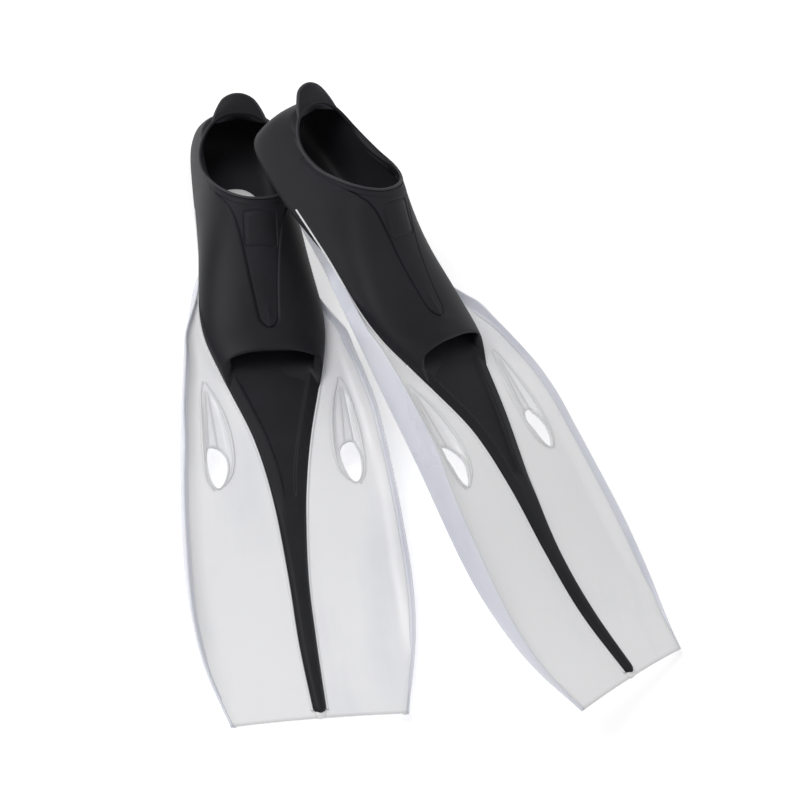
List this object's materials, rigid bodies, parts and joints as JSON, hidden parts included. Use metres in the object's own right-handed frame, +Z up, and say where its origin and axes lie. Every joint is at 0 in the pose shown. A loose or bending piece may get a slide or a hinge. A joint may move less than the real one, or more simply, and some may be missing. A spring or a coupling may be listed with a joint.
{
  "type": "swim fins",
  "caption": "Pair of full-foot swim fins: closed rubber foot pockets on stiff vented blades with side rails, one lying across the other's heel.",
  "frame": {"origin": "centre of the pair's outline, on the surface that it lies on", "axes": "+Z up; the left fin's blade points to -Y and its heel to +Y; +X is towards the right fin's blade"},
  "size_m": [0.4432, 0.6319, 0.1782],
  "materials": {
    "pocket_rubber": "matte thermoplastic rubber with a soft sheen",
    "panel_rubber": "matte",
    "badge_rubber": "smooth, blank",
    "sole_rubber": "matte",
    "tongue_rubber": "matte thermoplastic rubber with a soft sheen",
    "blade_plastic": "milky translucent polypropylene",
    "rail_plastic": "milky translucent polypropylene"
  },
  "bodies": {
    "left_fin": {"left_foot_pocket": "pocket_rubber", "left_collar_bead": "pocket_rubber", "left_heel_tab": "pocket_rubber", "left_instep_panel": "panel_rubber", "left_badge": "badge_rubber", "left_heel_tread": "sole_rubber", "left_sole_bars": "sole_rubber", "left_foot_plate": "blade_plastic", "left_blade_root": "blade_plastic", "left_rail_a_root": "rail_plastic", "left_rail_b_root": "rail_plastic", "left_tongue": "tongue_rubber"},
    "left_blade_end": {"left_blade_tip": "blade_plastic", "left_rail_a_tip": "rail_plastic", "left_rail_b_tip": "rail_plastic", "left_rib": "tongue_rubber"},
    "right_fin": {"right_foot_pocket": "pocket_rubber", "right_collar_bead": "pocket_rubber", "right_heel_tab": "pocket_rubber", "right_instep_panel": "panel_rubber", "right_badge": "badge_rubber", "right_heel_tread": "sole_rubber", "right_sole_bars": "sole_rubber", "right_foot_plate": "blade_plastic", "right_blade_root": "blade_plastic", "right_rail_a_root": "rail_plastic", "right_rail_b_root": "rail_plastic", "right_tongue": "tongue_rubber"},
    "right_blade_end": {"right_blade_tip": "blade_plastic", "right_rail_a_tip": "rail_plastic", "right_rail_b_tip": "rail_plastic", "right_rib": "tongue_rubber"}
  },
  "joints": [
    {"name": "left_blade_flex", "type": "hinge", "parent": "left_fin", "child": "left_blade_end", "pos_m": [-0.122, -0.089, 0.0245], "axis": [-1, 0, 0], "range_deg": [-20, 20], "stiffness_Nm_per_rad": 30},
    {"name": "right_fin_lift", "type": "slide", "parent": "left_fin", "child": "right_fin", "axis": [0, 0, 1], "range_m": [0, 0.25]},
    {"name": "right_blade_flex", "type": "hinge", "parent": "right_fin", "child": "right_blade_end", "pos_m": [0.07538, -0.1031, 0.07251], "axis": [-0.8151, -0.4535, 0.3605], "range_deg": [-20, 20], "stiffness_Nm_per_rad": 30}
  ]
}
